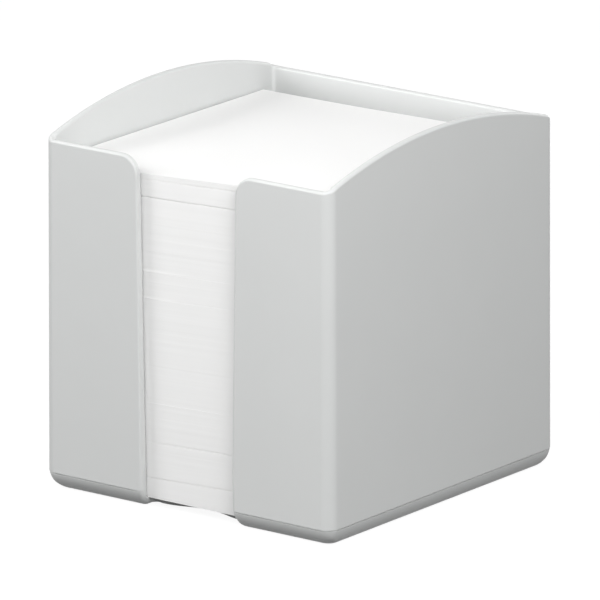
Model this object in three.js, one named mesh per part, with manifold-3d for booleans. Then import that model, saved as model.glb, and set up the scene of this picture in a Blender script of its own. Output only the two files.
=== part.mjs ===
// Memo cube: an open-topped moulded box that holds a stack of loose square notes.
// Millimetres, +Z up, the front with its finger slot towards -Y.
// The origin is the middle of the box's underside.
import * as THREE from 'three';
import { mergeVertices } from 'three/addons/utils/BufferGeometryUtils.js';
import Module from 'manifold-3d';

const wasm = await Module();
wasm.setup();

// The notes
const noteSide = 90;
const stackHeight = 90;
const sheetThickness = 0.1;
const airGap = 0.02;          // under each bundle of notes

// The room that the stack has in the box, measured at the floor
const sideGap = 0.5;
const frontGap = 0.5;
const rearGap = 5.2;
const rimAboveStack = 4.3;

// The walls and the floor
const rimWall = 2;            // wall thickness at the rim
const footWall = 2.5;         // and at the floor
const frontFootWall = 2.8;    // the front wall, weakened by its slot, is thicker at its foot
const outerDraft = 0.45;      // how far the outside leans in from the base's line up to the rim
const floorThickness = 2.5;
const innerCorner = 1;        // radius of the inside corners at the floor
const sideRise = 8.1;         // height of the arch on each side wall
const rimRound = 0.8;         // rounding of the rim's two edges

// The base, drawn in below a crisp line that runs all round
const baseHeight = 4.9;
const baseInset = 3.3;        // at the underside
const frontBaseInset = 4.45;
const baseLedge = 0.1;        // at the line
const baseFlatness = 1.25;    // of its profile: 1 would be an ellipse and 2 a plain chamfer
const baseCorner = 2.5;       // least radius of its corners

// The finger slot in the front wall, and the finger cut-out in the floor behind it
const slotFootWidth = 30.3;
const slotRimWidth = 32.7;
const slotCorner = 5.5;
const reachMiddle = 6.7;      // how far the cut-out goes in under the stack
const reachSide = 4.3;
const reachCorner = 1.2;

const overrun = 1;            // how far cutting shapes run past what they cut

// Smoothness
const cornerSteps = 8;
const archSteps = 24;
const baseSteps = 8;
const rimSteps = 3;
const curveSteps = 10;

// The bundles of notes from the floor up. Each holds sheets that lie square with each other, and has
// its share of the stack's height, its slide as shares of the gaps beside it, and its turn in degrees.
const bundles = [
  { heightShare: 0.068, slideShares: [-0.2, 0.1], turn: 0.05 },
  { heightShare: 0.109, slideShares: [0.1, 0], turn: -0.04 },
  { heightShare: 0.122, slideShares: [-0.1, 0.25], turn: 0.03 },
  { heightShare: 0.321, slideShares: [0.2, 0.05], turn: 0.06 },
  { heightShare: 0.081, slideShares: [0, 0.3], turn: -0.05 },
  { heightShare: 0.227, slideShares: [-0.15, 0.1], turn: 0.04 },
  { heightShare: 0.055, slideShares: [0.15, 0.2], turn: 0.08 },
  { heightShare: 0.017, slideShares: [-0.1, 0.15], turn: 0.1 },
];
const topNote = { slideShares: [0.1, 0.3], turn: 0.12 };

// What follows from these
const sheetsHeight = stackHeight - sheetThickness - (bundles.length + 1) * airGap;
const sumOfShares = bundles.reduce((sum, bundle) => sum + bundle.heightShare, 0);
const frontHeight = floorThickness + stackHeight + rimAboveStack;
const halfWidth = noteSide / 2 + sideGap + footWall;
const halfDepth = (frontFootWall + frontGap + noteSide + rearGap + footWall) / 2;
const outerCorner = innerCorner + footWall;
const stackFront = -halfDepth + frontFootWall + frontGap;
const stackMiddle = stackFront + noteSide / 2;

const boxMaterial = new THREE.MeshStandardMaterial({ color: 0xc6c8c7, roughness: 0.45, metalness: 0 });
const noteMaterial = new THREE.MeshStandardMaterial({ color: 0xf3f3f1, roughness: 0.9, metalness: 0 });

// A closed geometry as a solid that can be joined and cut
function solid(geometry) {
  const bare = geometry.clone();
  bare.deleteAttribute('normal');
  bare.deleteAttribute('uv');
  const merged = mergeVertices(bare);
  return new wasm.Manifold(new wasm.Mesh({
    numProp: 3,
    vertProperties: new Float32Array(merged.attributes.position.array),
    triVerts: new Uint32Array(merged.index.array),
  }));
}

function geometryOf(body) {
  const mesh = body.getMesh();
  const geometry = new THREE.BufferGeometry();
  geometry.setAttribute('position', new THREE.BufferAttribute(mesh.vertProperties, mesh.numProp));
  geometry.setIndex(new THREE.BufferAttribute(mesh.triVerts, 1));
  geometry.computeVertexNormals();
  return geometry;
}

// Height of the rim above the front wall's rim: a flat arch from the front to the back
function archAt(y) {
  const radius = (halfDepth ** 2 + sideRise ** 2) / (2 * sideRise);
  return Math.sqrt(radius ** 2 - y ** 2) - (radius - sideRise);
}

// Stations all round the box, anticlockwise from the right front corner. Each is a turn round
// one corner, or a share of the way along a side wall, where the arch needs steps of its own.
function stationsAround() {
  const stations = [];
  const corners = [[1, -1], [1, 1], [-1, 1], [-1, -1]];
  corners.forEach(([sideX, sideY], corner) => {
    for (let step = 0; step <= cornerSteps; step++) {
      const angle = (Math.PI / 2) * (corner - 1 + step / cornerSteps);
      stations.push({ sideX, sideY, angle });
    }
    const sideWallFollows = sideX === -sideY;
    for (let step = 1; sideWallFollows && step < archSteps; step++) {
      stations.push({ sideX, sideY, share: step / archSteps });
    }
  });
  return stations;
}

// The station's place on the outline of the box, drawn in by inset, and at the front by frontInset
function placeAt(station, inset, frontInset = inset, leastCorner = 0) {
  const radius = Math.max(outerCorner - inset, leastCorner);
  const cornerY = { [-1]: frontInset + radius - halfDepth, [1]: halfDepth - inset - radius };
  const { sideX, sideY, share, angle } = station;
  if (share !== undefined) {
    return [sideX * (halfWidth - inset), THREE.MathUtils.lerp(cornerY[sideY], cornerY[-sideY], share)];
  }
  const cornerX = sideX * (halfWidth - inset - radius);
  return [cornerX + radius * Math.cos(angle), cornerY[sideY] + radius * Math.sin(angle)];
}

// The wall's section, from the underside, up the outside, over the rim and down the inside.
// Each point is drawn in by inset and stands at a height, or that far below the rim.
function wallSection() {
  const section = [];
  for (let step = 0; step <= baseSteps; step++) {
    const angle = (Math.PI / 2) * (step / baseSteps);
    const inShare = 1 - Math.sin(angle) ** baseFlatness;
    section.push({
      inset: THREE.MathUtils.lerp(baseLedge, baseInset, inShare),
      frontInset: THREE.MathUtils.lerp(baseLedge, frontBaseInset, inShare),
      leastCorner: baseCorner,
      height: baseHeight * (1 - Math.cos(angle) ** baseFlatness),
    });
  }
  section.push({ inset: 0, height: baseHeight });
  for (let step = 0; step <= rimSteps; step++) {
    const angle = (Math.PI / 2) * (step / rimSteps);
    section.push({
      inset: outerDraft + rimRound * (1 - Math.cos(angle)),
      belowRim: rimRound * (1 - Math.sin(angle)),
    });
  }
  for (let step = 0; step <= rimSteps; step++) {
    const angle = (Math.PI / 2) * (step / rimSteps);
    section.push({
      inset: outerDraft + rimWall - rimRound * (1 - Math.sin(angle)),
      belowRim: rimRound * (1 - Math.cos(angle)),
    });
  }
  section.push({ inset: footWall, frontInset: frontFootWall, height: floorThickness });
  return section;
}

// The moulding before its cuts: the section swept round the box, closed by the underside and the floor
function mouldedBody() {
  const stations = stationsAround();
  const section = wallSection();
  const positions = [];
  for (const { inset, frontInset, leastCorner, height, belowRim } of section) {
    for (const station of stations) {
      const [x, y] = placeAt(station, inset, frontInset, leastCorner);
      const rim = frontHeight + archAt(placeAt(station, 0)[1]);
      positions.push(x, y, height === undefined ? rim - belowRim : height);
    }
  }
  const indices = [];
  const count = stations.length;
  for (let ring = 0; ring < section.length - 1; ring++) {
    for (let index = 0; index < count; index++) {
      const here = ring * count + index;
      const next = ring * count + ((index + 1) % count);
      indices.push(here, next, next + count, here, next + count, here + count);
    }
  }
  const underside = positions.length / 3;
  positions.push(0, 0, 0);
  const floor = underside + 1;
  positions.push(0, 0, floorThickness);
  const lastRing = (section.length - 1) * count;
  for (let index = 0; index < count; index++) {
    const next = (index + 1) % count;
    indices.push(underside, next, index);
    indices.push(floor, lastRing + index, lastRing + next);
  }
  const geometry = new THREE.BufferGeometry();
  geometry.setAttribute('position', new THREE.Float32BufferAttribute(positions, 3));
  geometry.setIndex(indices);
  return solid(geometry);
}

// What the slot takes out of the front wall: it widens upwards, and both panels end in a round corner
function slotCutter() {
  const top = frontHeight + overrun;
  const outline = new THREE.Shape();
  outline.moveTo(-slotFootWidth / 2, -overrun);
  outline.lineTo(slotFootWidth / 2, -overrun);
  outline.lineTo(slotFootWidth / 2, 0);
  const cornerX = slotRimWidth / 2 + slotCorner;
  const cornerZ = frontHeight - slotCorner;
  outline.lineTo(slotRimWidth / 2, cornerZ);
  outline.absarc(cornerX, cornerZ, slotCorner, Math.PI, Math.PI / 2, true);
  outline.lineTo(cornerX, top);
  outline.lineTo(-cornerX, top);
  outline.absarc(-cornerX, cornerZ, slotCorner, Math.PI / 2, 0, true);
  outline.lineTo(-slotFootWidth / 2, 0);
  const depth = frontGap + frontFootWall + overrun;
  const geometry = new THREE.ExtrudeGeometry(outline, {
    depth,
    bevelEnabled: false,
    curveSegments: curveSteps,
  });
  geometry.rotateX(Math.PI / 2);
  geometry.translate(0, stackFront, 0);
  return solid(geometry);
}

// What the cut-out takes out of the floor: it goes in under the stack, deepest in the middle
function floorCutter() {
  const side = slotFootWidth / 2;
  const cornerEnd = side - reachCorner;
  const middle = stackFront + reachMiddle;
  const edge = stackFront + reachSide;
  const outline = new THREE.Shape();
  outline.moveTo(-side, -halfDepth - overrun);
  outline.lineTo(side, -halfDepth - overrun);
  outline.lineTo(side, edge - reachCorner);
  outline.quadraticCurveTo(side, edge, cornerEnd, edge);
  outline.bezierCurveTo(cornerEnd / 2, edge, cornerEnd / 2, middle, 0, middle);
  outline.bezierCurveTo(-cornerEnd / 2, middle, -cornerEnd / 2, edge, -cornerEnd, edge);
  outline.quadraticCurveTo(-side, edge, -side, edge - reachCorner);
  const depth = floorThickness + 2 * overrun;
  const geometry = new THREE.ExtrudeGeometry(outline, {
    depth,
    bevelEnabled: false,
    curveSegments: curveSteps,
  });
  geometry.translate(0, 0, -overrun);
  return solid(geometry);
}

function noteBox() {
  const cut = slotCutter().add(floorCutter());
  const mesh = new THREE.Mesh(geometryOf(mouldedBody().subtract(cut)), boxMaterial);
  mesh.name = 'note_box';
  return mesh;
}

// One bundle of notes, or a single note, whose underside is at the height given
function noteBundle(name, { slideShares, turn }, thickness, height) {
  const geometry = new THREE.BoxGeometry(noteSide, noteSide, thickness);
  geometry.translate(0, 0, thickness / 2);
  const mesh = new THREE.Mesh(geometry, noteMaterial);
  mesh.name = name;
  mesh.rotation.z = THREE.MathUtils.degToRad(turn);
  mesh.position.set(slideShares[0] * sideGap, stackMiddle + slideShares[1] * frontGap, height);
  return mesh;
}

const group = new THREE.Group();
group.add(noteBox());

let height = floorThickness + airGap;
bundles.forEach((bundle, index) => {
  const thickness = sheetsHeight * (bundle.heightShare / sumOfShares);
  group.add(noteBundle(`note_bundle_${index + 1}`, bundle, thickness, height));
  height += thickness + airGap;
});
group.add(noteBundle('top_note', topNote, sheetThickness, height));

export default group;
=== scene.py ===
import math
import random
from collections import namedtuple

import bmesh
import bpy
from mathutils import Matrix, Vector


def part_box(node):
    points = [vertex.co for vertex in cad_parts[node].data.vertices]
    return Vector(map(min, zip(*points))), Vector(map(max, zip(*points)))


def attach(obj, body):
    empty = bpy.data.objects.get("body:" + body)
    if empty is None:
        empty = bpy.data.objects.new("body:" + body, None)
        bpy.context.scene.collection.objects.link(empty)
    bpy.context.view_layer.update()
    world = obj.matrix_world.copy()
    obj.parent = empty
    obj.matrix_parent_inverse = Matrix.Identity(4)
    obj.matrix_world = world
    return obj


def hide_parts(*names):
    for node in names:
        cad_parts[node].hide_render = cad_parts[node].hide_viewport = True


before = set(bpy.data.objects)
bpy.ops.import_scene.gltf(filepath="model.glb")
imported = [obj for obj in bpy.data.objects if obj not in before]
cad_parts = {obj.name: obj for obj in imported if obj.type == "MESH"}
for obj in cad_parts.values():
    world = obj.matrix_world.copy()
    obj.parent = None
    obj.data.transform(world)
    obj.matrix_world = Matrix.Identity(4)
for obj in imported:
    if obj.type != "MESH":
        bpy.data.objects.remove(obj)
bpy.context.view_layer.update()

QUARTER_TURN = math.pi / 2

# The note box, its outside taken from the frame
BOX_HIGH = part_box("note_box")[1]
HALF_WIDTH = BOX_HIGH.x
HALF_DEPTH = BOX_HIGH.y
SIDE_RISE = 0.0081            # height of the arch on each side wall
FRONT_HEIGHT = BOX_HIGH.z - SIDE_RISE
OUTER_CORNER = 0.0035
OUTER_DRAFT = 0.00045         # how far the outside leans in from the base's line up to the front rim
RIM_WALL = 0.002
FOOT_WALL = 0.0025
FRONT_FOOT_WALL = 0.0028
FLOOR_TOP = 0.0025            # of the box's floor
FLOOR_FILLET = 0.0003         # between the walls' inside and the floor
RIM_ROUND = 0.0008
EDGE_ROUND = 0.0005           # of the slot's edges, and of the cut-out's upper edge
CUT_ROUND = 0.0002            # of the cut-out's lower edge
FOOT_ROUND = 0.002            # of the slot's outer edge where it ends at the underside
FOOT_ROUND_HEIGHT = 0.01      # below which that edge's rounding grows
BASE_HEIGHT = 0.0049
BASE_INSET = 0.0033           # at the underside
FRONT_BASE_INSET = 0.00445
BASE_LEDGE = 0.0001           # at the line above the base
BASE_FLATNESS = 1.25          # of its profile: 1 would be an ellipse and 2 a plain chamfer
BASE_CORNER = 0.0025
GROOVE_HEIGHT = 0.0004        # the line itself, which runs out at the slot
GROOVE_DEPTH = 0.00025
GROOVE_FADE = 0.0012
SLOT_HALF_FOOT = 0.01515
SLOT_HALF_RIM = 0.01635
SLOT_CORNER = 0.0055
REACH_SIDE = 0.0043           # how far the floor's cut-out goes in under the notes
REACH_MIDDLE = 0.0067
REACH_CORNER = 0.0012
FRONT_GAP = 0.0005            # between the front wall's foot and the notes
STACK_FRONT = FRONT_FOOT_WALL + FRONT_GAP - HALF_DEPTH

# How finely it is drawn
ROUND_STEPS = 4
CORNER_STEPS = 12
ARCH_STEPS = 40
REAR_STEPS = 8
FRONT_STEPS = 4
PANEL_STEPS = 12
WALL_ROWS = 8
BASE_STEPS = 12
FILLET_STEPS = 3
CUT_STEPS = 10
FLOOR_STEP = 0.0005           # between the floor's rows beside the walls
MERGE_DISTANCE = 1e-7         # between points that are one
SMOOTH_BELOW = math.radians(35)

# The notes
NOTE_HALF = 0.045
LAYER = 0.0004                # sheets that are drawn as one layer of a bundle
LAYER_STEP_SHARE = 0.05       # of a layer's height, over which it goes over into the next
LAYER_KEEP_SHARE = 0.7        # of a layer's slide and turn that the next one has too
LAYER_SLIDE = 0.000006
LAYER_TURN = 0.0001
SIDE_STEPS = 30
WARP_REACH = 0.018            # the sheets' slant fades out beyond this distance from the middle
BUNDLE_COUNT = 8
LEVEL_SLANTS = (0.0, 0.041, 0.04, 0.041, 0.058, 0.05, 0.0445, 0.052, 0.0615)  # below and above each bundle
REAR_SLANT_SHARE = 0.3        # of the front's slant that is left at the rear
REAR_DROP = 0.0007            # of the stack's top at the rear
FLARE_HEIGHT = 0.0006         # over which a bundle's end flares out, or leans back
NOTCH_HEIGHT = 0.00022        # of the recess between two bundles
RELIEF_LEFT = -0.0145         # the reliefs change from their left value to their right one between these
RELIEF_RIGHT = -0.0015

# Satin plastic, with textures' scales per metre and bumps' depths in metres
PLASTIC_TINTS = ((0.605, 0.615, 0.61, 1), (0.625, 0.635, 0.63, 1))
PLASTIC_CLOUD_SCALE = 60
PLASTIC_CLOUD_DETAIL = 2
PLASTIC_GRAIN_SCALE = 2600
PLASTIC_GRAIN_DETAIL = 3
PLASTIC_BUMP_STRENGTH = 0.15
PLASTIC_BUMP_DEPTH = 0.00002
PLASTIC_ROUGHNESS = (0.4, 0.5)  # the least and the most

# Paper, with its sheets' edges drawn out along the stack's sides
PAPER_TINTS = ((0.85, 0.85, 0.845, 1), (0.88, 0.88, 0.875, 1))
SHEETS_SCALE_ALONG = 25
SHEETS_SCALE_UP = 6000
SHEETS_DETAIL = 2
FIBRE_SCALE = 3000
FIBRE_DETAIL = 4
PAPER_BUMP_STRENGTH = 0.2
PAPER_BUMP_DEPTH = 0.00003
PAPER_ROUGHNESS = 0.9

# The view
IMAGE_SIDE = 600              # in pixels, as the focal length is
FOCAL_PIXELS = 11137.3
SENSOR = 36                   # width in millimetres
AZIMUTH = math.radians(37.158)
ELEVATION = math.radians(15.607)
ROLL = math.radians(-0.088)
DISTANCE = 2.98355
AIM = Vector((-0.000123, 0, 0.049026))

# The surroundings
GROUND_HALF = 4
GROUND_GREY = 0.04            # as it lights the object
GROUND_GLOW_SHARE = 0.88      # as it is seen: the rest of it shows the shadow
GROUND_GLOW = 1.05
WORLD_STRENGTH = 0.36
LAMP_DISTANCE = 0.7

# The lamps: azimuth from the front to the right and elevation in degrees, size in metres, power in watts
Lamp = namedtuple("Lamp", "azimuth elevation size power")
LAMPS = {
    "left_lamp": Lamp(-50, 30, 0.35, 2.25),
    "front_lamp": Lamp(20, 30, 0.35, 1.5),
    "right_lamp": Lamp(55, 30, 0.35, 2.2),
    "side_lamp": Lamp(70, 48, 0.35, 1.2),
    "rear_lamp": Lamp(180, 8, 0.25, 1.3),
}

# The reliefs at a bundle's underside and at its top, each with its left and its right value, outwards
Relief = namedtuple("Relief", "notch flare top_flare")
PLAIN = Relief((0, 0), (0, 0), (0, 0))
RELIEFS = {
    "note_bundle_2": Relief((-0.00018, -0.00018), (0, 0), (0, 0)),
    "note_bundle_3": Relief((0, -0.00018), (0, 0), (0, 0)),
    "note_bundle_4": Relief((0, 0), (0.00002, 0.00002), (0, 0)),
    "note_bundle_5": Relief((0, 0), (0.00008, 0), (0, 0)),
    "note_bundle_6": Relief((0, 0), (0.00009, 0), (-0.00003, -0.00003)),
    "note_bundle_7": Relief((-0.0003, -0.0003), (0, 0), (-0.00003, -0.00003)),
    "note_bundle_8": Relief((-0.00006, -0.0002), (0, 0), (0, 0)),
}

Station = namedtuple("Station", "outer outer_normal inner inner_normal into rounding inner_rounding")
BaseRow = namedtuple("BaseRow", "in_share height out down groove_share")
FootRow = namedtuple("FootRow", "inset height inwards up")
scene = bpy.context.scene


def lerp(start, end, share):
    return start + (end - start) * share


def shares(steps):
    return [step / steps for step in range(steps + 1)]


def arch_at(y):
    """Height of the rim above the front wall's rim: a flat arch from the front to the back"""
    radius = (HALF_DEPTH ** 2 + SIDE_RISE ** 2) / (2 * SIDE_RISE)
    return math.sqrt(radius ** 2 - y ** 2) - (radius - SIDE_RISE)


def slot_half(z):
    """Half of the finger slot's width at a height"""
    share = min(z / (FRONT_HEIGHT - SLOT_CORNER), 1)
    return lerp(SLOT_HALF_FOOT, SLOT_HALF_RIM, share)


def draft_at(z):
    """How far the outside leans in at a height"""
    return OUTER_DRAFT * (z - BASE_HEIGHT) / (FRONT_HEIGHT - BASE_HEIGHT)


def slot_rounding(z):
    """Rounding of the slot's outer edge at a height"""
    return lerp(FOOT_ROUND, EDGE_ROUND, min(z / FOOT_ROUND_HEIGHT, 1))


def wall_insets(z):
    """How far the inside of the walls, and of the front wall, is drawn in at a height"""
    share = (z - FLOOR_TOP) / (FRONT_HEIGHT - FLOOR_TOP)
    rim_inset = OUTER_DRAFT + RIM_WALL
    return lerp(FOOT_WALL, rim_inset, share), lerp(FRONT_FOOT_WALL, rim_inset, share)


def columns():
    """The box's right half, from the middle of the rear wall round to the slot's edge"""
    found = [("rear", share) for share in shares(REAR_STEPS)[:-1]]
    found += [("rear_corner", lerp(QUARTER_TURN, 0, share)) for share in shares(CORNER_STEPS)]
    found += [("side", share) for share in shares(ARCH_STEPS)[1:-1]]
    found += [("front_corner", lerp(0, -QUARTER_TURN, share)) for share in shares(CORNER_STEPS)]
    found += [("front", share) for share in shares(FRONT_STEPS)[1:-1]]
    found += [("panel", lerp(QUARTER_TURN, math.pi, share)) for share in shares(PANEL_STEPS)]
    return found


def place(column, z, inset=0.0, front_inset=None, least_corner=0.0, rounding=None):
    """Where a column meets the box's outline at a height, with the outline drawn in by the insets. At the
    slot the outline ends where the rounding of its edge starts."""
    kind, value = column
    front_inset = inset if front_inset is None else front_inset
    rounding = slot_rounding(z) if rounding is None else rounding
    radius = max(OUTER_CORNER - inset, least_corner)
    right = HALF_WIDTH - inset - radius
    back = HALF_DEPTH - inset - radius
    front = front_inset + radius - HALF_DEPTH
    edge = slot_half(z) + rounding
    bend = SLOT_CORNER - rounding
    if kind == "rear":
        return Vector((value * right, HALF_DEPTH - inset, z))
    if kind == "side":
        return Vector((HALF_WIDTH - inset, lerp(back, front, value), z))
    if kind == "front":
        return Vector((lerp(right, edge + bend, value), front_inset - HALF_DEPTH, z))
    if kind == "panel":
        return Vector((edge + bend * (1 + math.cos(value)), front_inset - HALF_DEPTH, z))
    middle = back if kind == "rear_corner" else front
    return Vector((right + radius * math.cos(value), middle + radius * math.sin(value), z))


def facing(column):
    """The way the outside faces at a column"""
    kind, value = column
    if kind in ("rear_corner", "front_corner"):
        return Vector((math.cos(value), math.sin(value), 0))
    return {"rear": Vector((0, 1, 0)), "side": Vector((1, 0, 0))}.get(kind, Vector((0, -1, 0)))


def rim_station(column):
    """The sheet's edge at the rim, or where the rim turns down round a front panel's corner"""
    kind, value = column
    normal = facing(column)
    if kind == "panel":
        into = Vector((-math.cos(value), 0, -math.sin(value)))
        middle = Vector((SLOT_HALF_RIM + SLOT_CORNER, -HALF_DEPTH, FRONT_HEIGHT - SLOT_CORNER))
        face = middle - SLOT_CORNER * into
        outer = face - draft_at(face.z) * normal
        inner = face - wall_insets(face.z)[1] * normal
        rounding = lerp(RIM_ROUND, EDGE_ROUND, value / QUARTER_TURN - 1)
        return Station(outer, normal, inner, -normal, into, rounding, rounding)
    height = FRONT_HEIGHT + arch_at(place(column, 0).y)
    outer = place(column, height, draft_at(height))
    inner = place(column, height, *wall_insets(height))
    return Station(outer, normal, inner, -normal, Vector((0, 0, -1)), RIM_ROUND, RIM_ROUND)


def wall_rows():
    """The heights of the walls' rows, from below the slot's rounded corners down to the base"""
    top = FRONT_HEIGHT - SLOT_CORNER - 2 * EDGE_ROUND
    return [lerp(top, BASE_HEIGHT, share) for share in shares(WALL_ROWS)]


def base_rows():
    """The base from the line above it down: the line's groove, and then its own rounded profile"""
    line = math.acos((GROOVE_HEIGHT / BASE_HEIGHT) ** (1 / BASE_FLATNESS))
    below_line = BASE_HEIGHT - GROOVE_HEIGHT
    profile = []
    for share in shares(BASE_STEPS):
        angle = lerp(line, 0, share)
        across = math.sin(angle)
        along = math.cos(angle)
        out = BASE_HEIGHT * across ** (2 - BASE_FLATNESS)
        down = (BASE_INSET - BASE_LEDGE) * along ** (2 - BASE_FLATNESS)
        length = math.hypot(out, down)
        in_share = 1 - across ** BASE_FLATNESS
        height = BASE_HEIGHT * (1 - along ** BASE_FLATNESS)
        profile.append(BaseRow(in_share, height, out / length, down / length, 0))
    groove = [BaseRow(0, BASE_HEIGHT, 1, 0, 1), profile[0]._replace(height=below_line, groove_share=1)]
    return groove + profile


def base_place(column, row):
    """Where a column meets the base at a row"""
    fade = 1
    if column[0] == "panel":
        beside_slot = place(column, row.height).x - slot_half(row.height) - slot_rounding(row.height)
        fade = min(beside_slot / GROOVE_FADE, 1)
    groove = GROOVE_DEPTH * row.groove_share * fade
    inset = lerp(BASE_LEDGE, BASE_INSET, row.in_share) + groove
    front_inset = lerp(BASE_LEDGE, FRONT_BASE_INSET, row.in_share) + groove
    return place(column, row.height, inset, front_inset, BASE_CORNER)


def foot_rows():
    """The inside from the walls' foot over the fillet and along the floor, a row for each of the base's"""
    rows = []
    for share in shares(FILLET_STEPS):
        angle = QUARTER_TURN * share
        inwards = math.cos(angle)
        up = math.sin(angle)
        rows.append(FootRow(FLOOR_FILLET * (1 - inwards), FLOOR_TOP + FLOOR_FILLET * (1 - up), inwards, up))
    flat = len(base_rows()) - len(rows)
    for step in range(1, flat + 1):
        rows.append(FootRow(FLOOR_FILLET + FLOOR_STEP * step, FLOOR_TOP, 0, 1))
    return rows


def flank_stations():
    """The sheet's edge down the slot's side, and round the base"""
    into = Vector((1, 0, 0))
    stations = []
    for z in wall_rows():
        outer = Vector((slot_half(z), draft_at(z) - HALF_DEPTH, z))
        inner = Vector((slot_half(z), wall_insets(z)[1] - HALF_DEPTH, z))
        normal = Vector((0, -1, 0))
        stations.append(Station(outer, normal, inner, -normal, into, slot_rounding(z), EDGE_ROUND))
    for base, foot in zip(base_rows(), foot_rows()):
        front_inset = lerp(BASE_LEDGE, FRONT_BASE_INSET, base.in_share)
        outer = Vector((slot_half(base.height), front_inset - HALF_DEPTH, base.height))
        inner = Vector((slot_half(foot.height), FRONT_FOOT_WALL + foot.inset - HALF_DEPTH, foot.height))
        outer_normal = Vector((0, -base.out, -base.down))
        inner_normal = Vector((0, foot.inwards, foot.up))
        rounding = slot_rounding(base.height)
        stations.append(Station(outer, outer_normal, inner, inner_normal, into, rounding, EDGE_ROUND))
    return stations


def curve(points):
    """A Bezier curve through its end points, bent towards the others"""
    found = []
    for share in shares(CUT_STEPS):
        between = points
        while len(between) > 1:
            between = [first.lerp(second, share) for first, second in zip(between, between[1:])]
        found.append(between[0])
    return found


def cut_stations():
    """The sheet's edge round the right half of the floor's cut-out, up to its middle"""
    edge = STACK_FRONT + REACH_SIDE
    middle = STACK_FRONT + REACH_MIDDLE
    corner_start = Vector((SLOT_HALF_FOOT, edge - REACH_CORNER))
    corner_end = Vector((SLOT_HALF_FOOT - REACH_CORNER, edge))
    bend = corner_end.x / 2
    outline = curve([corner_start, Vector((SLOT_HALF_FOOT, edge)), corner_end])
    outline += curve([corner_end, Vector((bend, edge)), Vector((bend, middle)), Vector((0, middle))])[1:]
    stations = []
    for index, point in enumerate(outline):
        before = outline[max(index - 1, 0)]
        after = outline[min(index + 1, len(outline) - 1)]
        along = (after - before).normalized()
        into = Vector((along.y, -along.x, 0))
        if index == 0:
            into = Vector((1, 0, 0))
        if index == len(outline) - 1:
            into = Vector((0, 1, 0))
        up = Vector((0, 0, 1))
        outer = point.to_3d()
        rounding = lerp(FOOT_ROUND, CUT_ROUND, min(index / CUT_STEPS, 1))
        stations.append(Station(outer, -up, outer + FLOOR_TOP * up, up, into, rounding, EDGE_ROUND))
    return stations


def edge_profile(station):
    """Points across the sheet's edge, from its outside to its inside, over both rounded corners"""
    points = []
    rounding = station.rounding
    for share in shares(ROUND_STEPS):
        angle = QUARTER_TURN * share
        in_sheet = rounding * (1 - math.sin(angle)) * station.into
        points.append(station.outer + in_sheet - rounding * (1 - math.cos(angle)) * station.outer_normal)
    rounding = station.inner_rounding
    for share in shares(ROUND_STEPS):
        angle = QUARTER_TURN * share
        in_sheet = rounding * (1 - math.cos(angle)) * station.into
        points.append(station.inner + in_sheet - rounding * (1 - math.sin(angle)) * station.inner_normal)
    return points


def add_grid(mesh, rows):
    """Quads between rows of points, each row as long as the next"""
    made = [[mesh.verts.new(point) for point in row] for row in rows]
    for row, next_row in zip(made, made[1:]):
        for index in range(len(row) - 1):
            mesh.faces.new((row[index], row[index + 1], next_row[index + 1], next_row[index]))


def add_face(mesh, points):
    mesh.faces.new([mesh.verts.new(point) for point in points])


def finished_object(name, mesh, material):
    data = bpy.data.meshes.new(name)
    mesh.to_mesh(data)
    mesh.free()
    data.materials.append(material)
    data.shade_smooth()
    data.set_sharp_from_angle(angle=SMOOTH_BELOW)
    made = bpy.data.objects.new(name, data)
    scene.collection.objects.link(made)
    weighted = made.modifiers.new("weighted_normals", "WEIGHTED_NORMAL")
    weighted.keep_sharp = True
    return made


def make_box(material):
    """The moulding as one closed sheet of plastic: its skins, its free edge, its underside and its floor"""
    mesh = bmesh.new()
    around = columns()
    rim = [edge_profile(rim_station(column)) for column in around]
    flank = [edge_profile(station) for station in flank_stations()]
    cut = [edge_profile(station) for station in cut_stations()]
    add_grid(mesh, rim + flank + cut)

    outer = [[profile[0] for profile in rim]]
    inner = [[profile[-1] for profile in rim]]
    for z in wall_rows():
        outer.append([place(column, z, draft_at(z)) for column in around])
        inner.append([place(column, z, *wall_insets(z), rounding=EDGE_ROUND) for column in around])
    for base, foot in zip(base_rows(), foot_rows()):
        outer.append([base_place(column, base) for column in around])
        insets = (FOOT_WALL + foot.inset, FRONT_FOOT_WALL + foot.inset)
        inner.append([place(column, foot.height, *insets, FLOOR_FILLET, EDGE_ROUND) for column in around])
    add_grid(mesh, outer)
    add_grid(mesh, inner)
    add_face(mesh, outer[-1] + [profile[0] for profile in cut])
    add_face(mesh, inner[-1] + [profile[-1] for profile in cut])

    bmesh.ops.remove_doubles(mesh, verts=mesh.verts[:], dist=MERGE_DISTANCE)
    half = mesh.verts[:] + mesh.edges[:] + mesh.faces[:]
    bmesh.ops.mirror(mesh, geom=half, axis="X", merge_dist=MERGE_DISTANCE)
    bmesh.ops.remove_doubles(mesh, verts=mesh.verts[:], dist=MERGE_DISTANCE)
    bmesh.ops.recalc_face_normals(mesh, faces=mesh.faces[:])
    box = finished_object("note_box_shell", mesh, material)
    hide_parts("note_box")
    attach(box, "box")


def warp(x, y, level):
    """How far the notes rise or sink at a place between two bundles: they slant and sag a little"""
    height_share = level / (len(LEVEL_SLANTS) - 1)
    depth_share = 0.5 + y / (2 * NOTE_HALF)
    slant = LEVEL_SLANTS[level] * lerp(1, REAR_SLANT_SHARE, depth_share)
    sink = height_share * REAR_DROP * depth_share
    return slant * WARP_REACH * math.tanh(x / WARP_REACH) - sink


def square_ring():
    """Points round a note's outline, anticlockwise, with its corners"""
    ring = []
    for side in range(4):
        turn = Matrix.Rotation(side * QUARTER_TURN, 2)
        for share in shares(SIDE_STEPS)[:-1]:
            ring.append(turn @ Vector((lerp(-NOTE_HALF, NOTE_HALF, share), -NOTE_HALF)))
    return ring


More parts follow.
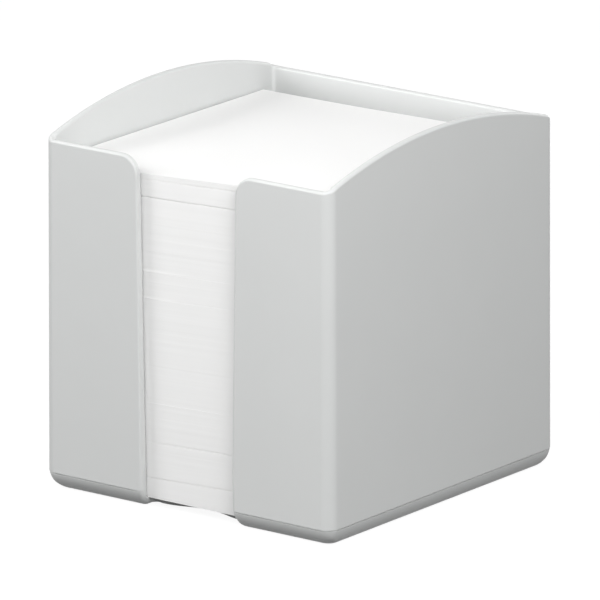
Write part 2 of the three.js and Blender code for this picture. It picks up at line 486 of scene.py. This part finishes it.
def relief_at(relief, x, below_top, above_foot):
    """How far a bundle's side stands out at a place near its underside or its top"""
    share = min(max((x - RELIEF_LEFT) / (RELIEF_RIGHT - RELIEF_LEFT), 0), 1)
    notch = lerp(*relief.notch, share) if above_foot < NOTCH_HEIGHT else 0
    flare = lerp(*relief.flare, share) * max(1 - above_foot / FLARE_HEIGHT, 0)
    top_flare = lerp(*relief.top_flare, share) * max(1 - below_top / FLARE_HEIGHT, 0)
    return notch + flare + top_flare


def layer_count(thickness):
    return max(round(thickness / LAYER), 1)


def ring_heights(thickness):
    """Each ring's height in a bundle, at the layers' edges and near the bundle's ends, and its layer"""
    count = layer_count(thickness)
    step = LAYER_STEP_SHARE * thickness / count
    found = [(0, 0), (thickness, count - 1)]
    for layer in range(count):
        edge = thickness * layer / count
        if layer > 0:
            found += [(edge - step, layer - 1), (edge + step, layer)]
    if count > 1:
        ends = (NOTCH_HEIGHT - step, NOTCH_HEIGHT, FLARE_HEIGHT / 2)
        found += [(end, 0 if end < thickness / count else 1) for end in ends]
        found.append((thickness - FLARE_HEIGHT / 2, count - 1))
    return sorted(found)


def make_bundle(name, body, level, seed, material):
    """A bundle of notes as a closed mesh, with a step between its layers of sheets"""
    rng = random.Random(seed)
    low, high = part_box(name)
    middle = (low + high) / 2
    thickness = high.z - low.z
    relief = RELIEFS.get(name, PLAIN)
    mesh = bmesh.new()
    height = mesh.verts.layers.float.new("sheet_height")
    top_level = min(level + 1, BUNDLE_COUNT)

    def add_point(x, y, share):
        lift = lerp(warp(x, y, level), warp(x, y, top_level), share)
        z = lerp(low.z, high.z, share)
        vertex = mesh.verts.new((middle.x + x, STACK_FRONT + NOTE_HALF + y, z + lift))
        vertex[height] = z
        return vertex

    def add_ring(above_foot, slide, turn):
        spin = Matrix.Rotation(turn, 2)
        ring = []
        for point in square_ring():
            out = relief_at(relief, point.x, thickness - above_foot, above_foot)
            grown = point * (1 + out / NOTE_HALF)
            ring.append(add_point(*(spin @ grown + slide), above_foot / thickness))
        return ring

    layers = []
    slide = Vector((0, 0))
    turn = 0
    for _ in range(layer_count(thickness)):
        push = Vector((rng.gauss(0, LAYER_SLIDE), rng.gauss(0, LAYER_SLIDE)))
        slide = slide * LAYER_KEEP_SHARE + push
        turn = turn * LAYER_KEEP_SHARE + rng.gauss(0, LAYER_TURN)
        layers.append((slide, turn))
    rings = [add_ring(above_foot, *layers[layer]) for above_foot, layer in ring_heights(thickness)]
    ring_length = len(rings[0])
    for ring, next_ring in zip(rings, rings[1:]):
        for index in range(ring_length):
            after = (index + 1) % ring_length
            mesh.faces.new((ring[index], ring[after], next_ring[after], next_ring[index]))
    for ring, share in ((rings[0], 0), (rings[-1], 1)):
        add_cap(mesh, ring, add_point, share)
    bmesh.ops.recalc_face_normals(mesh, faces=mesh.faces[:])
    notes = finished_object(name + "_sheets", mesh, material)
    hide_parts(name)
    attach(notes, body)


def add_cap(mesh, ring, add_point, share):
    """Closes a ring with a grid of quads, as the sheet between its edges is warped too"""
    steps = SIDE_STEPS
    grid = {}
    for index in range(steps):
        grid[index, 0] = ring[index]
        grid[steps, index] = ring[steps + index]
        grid[steps - index, steps] = ring[2 * steps + index]
        grid[0, steps - index] = ring[3 * steps + index]
    for column in range(1, steps):
        for row in range(1, steps):
            x = lerp(-NOTE_HALF, NOTE_HALF, column / steps)
            y = lerp(-NOTE_HALF, NOTE_HALF, row / steps)
            grid[column, row] = add_point(x, y, share)
    for column in range(steps):
        for row in range(steps):
            mesh.faces.new((grid[column, row], grid[column + 1, row], grid[column + 1, row + 1],
                            grid[column, row + 1]))


class Nodes:
    """A material's or the world's nodes, made and joined by short calls"""

    def __init__(self, owner):
        owner.use_nodes = True
        self.tree = owner.node_tree
        self.tree.nodes.clear()

    def add(self, kind, inputs=None, **settings):
        node = self.tree.nodes.new(kind)
        for name, value in settings.items():
            setattr(node, name, value)
        for name, value in (inputs or {}).items():
            self.put(value, node.inputs[name])
        return node

    def put(self, value, socket):
        if isinstance(value, bpy.types.NodeSocket):
            self.tree.links.new(value, socket)
        else:
            socket.default_value = value

    def math(self, operation, first, second):
        node = self.add("ShaderNodeMath", operation=operation)
        self.put(first, node.inputs[0])
        self.put(second, node.inputs[1])
        return node.outputs[0]


def grey(value):
    return (value, value, value, 1)


def noise(nodes, vector, scale, detail):
    texture = nodes.add("ShaderNodeTexNoise", {"Vector": vector, "Scale": scale, "Detail": detail})
    return texture.outputs["Fac"]


def tinted(nodes, share, tints):
    """A colour between two tints"""
    ramp = nodes.add("ShaderNodeValToRGB", {"Fac": share})
    for element, tint in zip(ramp.color_ramp.elements, tints):
        element.color = tint
    return ramp.outputs["Color"]


def bumped(nodes, height, strength, depth):
    bump = nodes.add("ShaderNodeBump", {"Height": height, "Strength": strength, "Distance": depth})
    return bump.outputs["Normal"]


def finished_material(material, nodes, colour, roughness, normal):
    inputs = {"Base Color": colour, "Roughness": roughness, "Normal": normal}
    shader = nodes.add("ShaderNodeBsdfPrincipled", inputs)
    nodes.add("ShaderNodeOutputMaterial", {"Surface": shader.outputs[0]})
    return material


def plastic_material():
    """Moulded plastic with a fine satin grain and a faint cloudiness"""
    material = bpy.data.materials.new("satin_plastic")
    nodes = Nodes(material)
    place_in_object = nodes.add("ShaderNodeTexCoord").outputs["Object"]
    grain = noise(nodes, place_in_object, PLASTIC_GRAIN_SCALE, PLASTIC_GRAIN_DETAIL)
    clouds = noise(nodes, place_in_object, PLASTIC_CLOUD_SCALE, PLASTIC_CLOUD_DETAIL)
    least, most = PLASTIC_ROUGHNESS
    rough = nodes.add("ShaderNodeMapRange", {"Value": grain, "To Min": least, "To Max": most})
    normal = bumped(nodes, grain, PLASTIC_BUMP_STRENGTH, PLASTIC_BUMP_DEPTH)
    colour = tinted(nodes, clouds, PLASTIC_TINTS)
    return finished_material(material, nodes, colour, rough.outputs["Result"], normal)


def paper_material():
    """Uncoated paper: fibres all over, and fine lines of sheets along the stack's sides"""
    material = bpy.data.materials.new("note_paper")
    nodes = Nodes(material)
    place_in_object = nodes.add("ShaderNodeTexCoord").outputs["Object"]
    height = nodes.add("ShaderNodeAttribute", attribute_name="sheet_height").outputs["Fac"]
    split = nodes.add("ShaderNodeSeparateXYZ", {"Vector": place_in_object})
    across = nodes.math("ADD", split.outputs["X"], split.outputs["Y"])
    stretched = nodes.add("ShaderNodeCombineXYZ", {
        "X": nodes.math("MULTIPLY", across, SHEETS_SCALE_ALONG),
        "Z": nodes.math("MULTIPLY", height, SHEETS_SCALE_UP),
    })
    sheets = noise(nodes, stretched.outputs[0], 1, SHEETS_DETAIL)
    fibres = noise(nodes, place_in_object, FIBRE_SCALE, FIBRE_DETAIL)
    relief = nodes.math("ADD", fibres, sheets)
    normal = bumped(nodes, relief, PAPER_BUMP_STRENGTH, PAPER_BUMP_DEPTH)
    colour = tinted(nodes, sheets, PAPER_TINTS)
    return finished_material(material, nodes, colour, PAPER_ROUGHNESS, normal)


def seen_directly(nodes):
    """1 for the rays that see the background itself: camera, glossy and transmission rays"""
    path = nodes.add("ShaderNodeLightPath")
    sharp = nodes.math("MAXIMUM", path.outputs["Is Glossy Ray"], path.outputs["Is Transmission Ray"])
    return nodes.math("MAXIMUM", path.outputs["Is Camera Ray"], sharp)


def make_floor():
    """A floor that looks white with the object's shadow on it, and throws little light on the object"""
    material = bpy.data.materials.new("pale_floor")
    nodes = Nodes(material)
    seen = seen_directly(nodes)
    dark = nodes.add("ShaderNodeBsdfDiffuse", {"Color": grey(GROUND_GREY)})
    pale = nodes.add("ShaderNodeBsdfDiffuse", {"Color": grey(1)})
    glow = nodes.add("ShaderNodeEmission", {"Color": grey(1), "Strength": GROUND_GLOW})
    pale_glow = nodes.add("ShaderNodeMixShader", {"Fac": GROUND_GLOW_SHARE})
    nodes.put(pale.outputs[0], pale_glow.inputs[1])
    nodes.put(glow.outputs[0], pale_glow.inputs[2])
    choice = nodes.add("ShaderNodeMixShader", {"Fac": seen})
    nodes.put(dark.outputs[0], choice.inputs[1])
    nodes.put(pale_glow.outputs[0], choice.inputs[2])
    nodes.add("ShaderNodeOutputMaterial", {"Surface": choice.outputs[0]})
    mesh = bmesh.new()
    corners = [(-GROUND_HALF, -GROUND_HALF), (GROUND_HALF, -GROUND_HALF),
               (GROUND_HALF, GROUND_HALF), (-GROUND_HALF, GROUND_HALF)]
    add_face(mesh, [(x, y, 0) for x, y in corners])
    data = bpy.data.meshes.new("floor")
    mesh.to_mesh(data)
    mesh.free()
    data.materials.append(material)
    floor = bpy.data.objects.new("floor", data)
    scene.collection.objects.link(floor)


def make_world():
    """A white background, and an even, softer light on the object"""
    world = bpy.data.worlds.new("studio")
    scene.world = world
    nodes = Nodes(world)
    seen = seen_directly(nodes)
    light = nodes.add("ShaderNodeBackground", {"Color": grey(1), "Strength": WORLD_STRENGTH})
    white = nodes.add("ShaderNodeBackground", {"Color": grey(1)})
    choice = nodes.add("ShaderNodeMixShader", {"Fac": seen})
    nodes.put(light.outputs[0], choice.inputs[1])
    nodes.put(white.outputs[0], choice.inputs[2])
    nodes.add("ShaderNodeOutputWorld", {"Surface": choice.outputs[0]})


def looking_at(aim, azimuth, elevation, distance):
    """Where a lamp or the camera stands: its azimuth is counted from the front to the right"""
    turn = Matrix.Rotation(azimuth, 4, "Z")
    tilt = Matrix.Rotation(QUARTER_TURN - elevation, 4, "X")
    return Matrix.Translation(aim) @ turn @ tilt @ Matrix.Translation((0, 0, distance))


def add_lamp(name, lamp):
    """A square soft box aimed at the object"""
    light = bpy.data.lights.new(name, "AREA")
    light.shape = "SQUARE"
    light.size = lamp.size
    light.energy = lamp.power
    made = bpy.data.objects.new(name, light)
    aim = Vector((0, 0, FRONT_HEIGHT / 2))
    azimuth = math.radians(lamp.azimuth)
    elevation = math.radians(lamp.elevation)
    made.matrix_world = looking_at(aim, azimuth, elevation, LAMP_DISTANCE)
    made.visible_camera = False
    scene.collection.objects.link(made)


def add_camera():
    data = bpy.data.cameras.new("camera")
    data.sensor_width = SENSOR
    data.lens = FOCAL_PIXELS / IMAGE_SIDE * SENSOR
    camera = bpy.data.objects.new("camera", data)
    camera.matrix_world = looking_at(AIM, AZIMUTH, ELEVATION, DISTANCE) @ Matrix.Rotation(ROLL, 4, "Z")
    scene.collection.objects.link(camera)
    scene.camera = camera


add_camera()
make_world()
make_floor()
for name, lamp in LAMPS.items():
    add_lamp(name, lamp)

make_box(plastic_material())
paper = paper_material()
for number in range(1, BUNDLE_COUNT + 1):
    make_bundle(f"note_bundle_{number}", f"bundle_{number}", number - 1, number, paper)
make_bundle("top_note", "note", BUNDLE_COUNT, BUNDLE_COUNT + 1, paper)

scene.view_settings.view_transform = "Standard"
